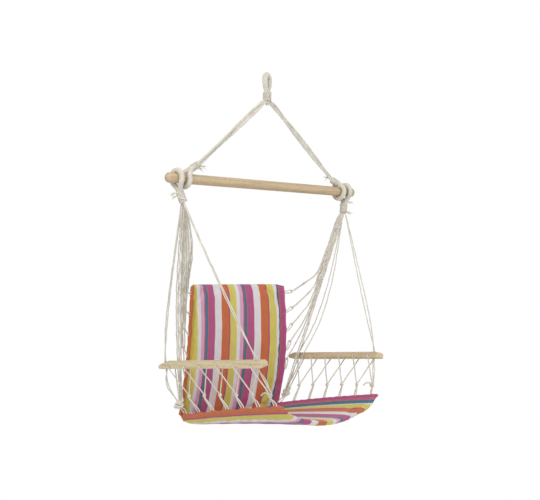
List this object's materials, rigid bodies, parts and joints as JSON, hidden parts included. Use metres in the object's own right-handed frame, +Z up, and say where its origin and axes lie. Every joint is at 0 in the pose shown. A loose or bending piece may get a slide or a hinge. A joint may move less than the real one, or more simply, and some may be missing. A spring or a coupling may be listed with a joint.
{
  "type": "hammock chair",
  "caption": "Hammock chair hung from a rope eye: spreader bar on a rope bridle, quilted striped seat and back in cotton cords, and wooden armrests with netting.",
  "frame": {"origin": "inner top of the hanging eye, where it rests on the hook", "axes": "+Z up, the sitter faces -Y with the left hand at +X, X along the spreader bar"},
  "size_m": [0.818, 0.4836, 1.1077],
  "materials": {
    "cotton_rope": "matt laid cotton cord",
    "bar_wood": "sanded pale wood",
    "armrest_wood": "sanded pale wood",
    "striped_canvas": "woven stripes, matt",
    "wadding": "soft fill"
  },
  "bodies": {
    "hook_eye": {"hanging_eye": "cotton_rope"},
    "neck": {"eye_whipping": "cotton_rope"},
    "crown": {"bridle_crown": "cotton_rope"},
    "bridle": {"bridle_strand_right_1": "cotton_rope", "bridle_strand_right_2": "cotton_rope", "bridle_strand_right_3": "cotton_rope", "bridle_strand_left_1": "cotton_rope", "bridle_strand_left_2": "cotton_rope", "bridle_strand_left_3": "cotton_rope", "bridle_eye_right": "cotton_rope", "bridle_eye_left": "cotton_rope", "bridle_whipping_right": "cotton_rope", "bridle_whipping_left": "cotton_rope"},
    "bar": {"spreader_bar": "bar_wood"},
    "sling": {"side_eye_right": "cotton_rope", "side_eye_left": "cotton_rope", "side_whipping_right": "cotton_rope", "side_whipping_left": "cotton_rope", "back_cord_right_1": "cotton_rope", "back_cord_right_2": "cotton_rope", "back_cord_right_3": "cotton_rope", "back_cord_right_4": "cotton_rope", "back_cord_right_5": "cotton_rope", "back_cord_left_1": "cotton_rope", "back_cord_left_2": "cotton_rope", "back_cord_left_3": "cotton_rope", "back_cord_left_4": "cotton_rope", "back_cord_left_5": "cotton_rope", "corner_cord_right_1": "cotton_rope", "corner_cord_right_2": "cotton_rope", "corner_cord_left_1": "cotton_rope", "corner_cord_left_2": "cotton_rope", "rear_knot_right": "cotton_rope", "rear_knot_left": "cotton_rope", "seat_cover": "striped_canvas", "seat_filling": "wadding", "seat_edge_cord_right": "cotton_rope", "seat_edge_cord_left": "cotton_rope"},
    "backrest": {"back_cover": "striped_canvas", "back_filling": "wadding", "back_edge_cord_right": "cotton_rope", "back_edge_cord_left": "cotton_rope"},
    "armrest_right": {"armrest_right": "armrest_wood", "armrest_net_right": "cotton_rope", "front_cord_right": "cotton_rope", "rear_cord_right": "cotton_rope"},
    "armrest_left": {"armrest_left": "armrest_wood", "armrest_net_left": "cotton_rope", "front_cord_left": "cotton_rope", "rear_cord_left": "cotton_rope"}
  },
  "joints": [
    {"name": "hook_turn", "type": "hinge", "parent": "hook_eye", "child": "neck", "pos_m": [0, 0, -0.04], "axis": [0, 0, 1], "range_deg": [-90, 90]},
    {"name": "side_sway", "type": "hinge", "parent": "neck", "child": "crown", "pos_m": [0, 0, -0.0758], "axis": [0, 1, 0], "range_deg": [-15, 15]},
    {"name": "swing", "type": "hinge", "parent": "crown", "child": "bridle", "pos_m": [0, 0, -0.0758], "axis": [1, 0, 0], "range_deg": [-30, 30]},
    {"name": "bar_roll", "type": "hinge", "parent": "bridle", "child": "bar", "pos_m": [0, 0, -0.338], "axis": [1, 0, 0], "continuous": true},
    {"name": "sling_tilt", "type": "hinge", "parent": "bridle", "child": "sling", "pos_m": [0, 0, -0.338], "axis": [1, 0, 0], "range_deg": [-25, 25]},
    {"name": "backrest_lean", "type": "hinge", "parent": "sling", "child": "backrest", "pos_m": [0, 0.159, -1.038], "axis": [1, 0, 0], "range_deg": [0, 18], "stiffness_Nm_per_rad": 6, "springref_deg": -2.86, "deforming": ["back_cord_right_1", "back_cord_right_2", "back_cord_right_3", "back_cord_right_4", "back_cord_right_5", "back_cord_left_1", "back_cord_left_2", "back_cord_left_3", "back_cord_left_4", "back_cord_left_5"]},
    {"name": "armrest_sway_right", "type": "hinge", "parent": "sling", "child": "armrest_right", "pos_m": [-0.359, 0, -0.41], "axis": [0, -1, 0], "range_deg": [0, 4], "deforming": ["armrest_net_right", "rear_cord_right", "corner_cord_right_1", "corner_cord_right_2"]},
    {"name": "armrest_sway_left", "type": "hinge", "parent": "sling", "child": "armrest_left", "pos_m": [0.359, 0, -0.41], "axis": [0, 1, 0], "range_deg": [0, 4], "deforming": ["armrest_net_left", "rear_cord_left", "corner_cord_left_1", "corner_cord_left_2"]}
  ]
}
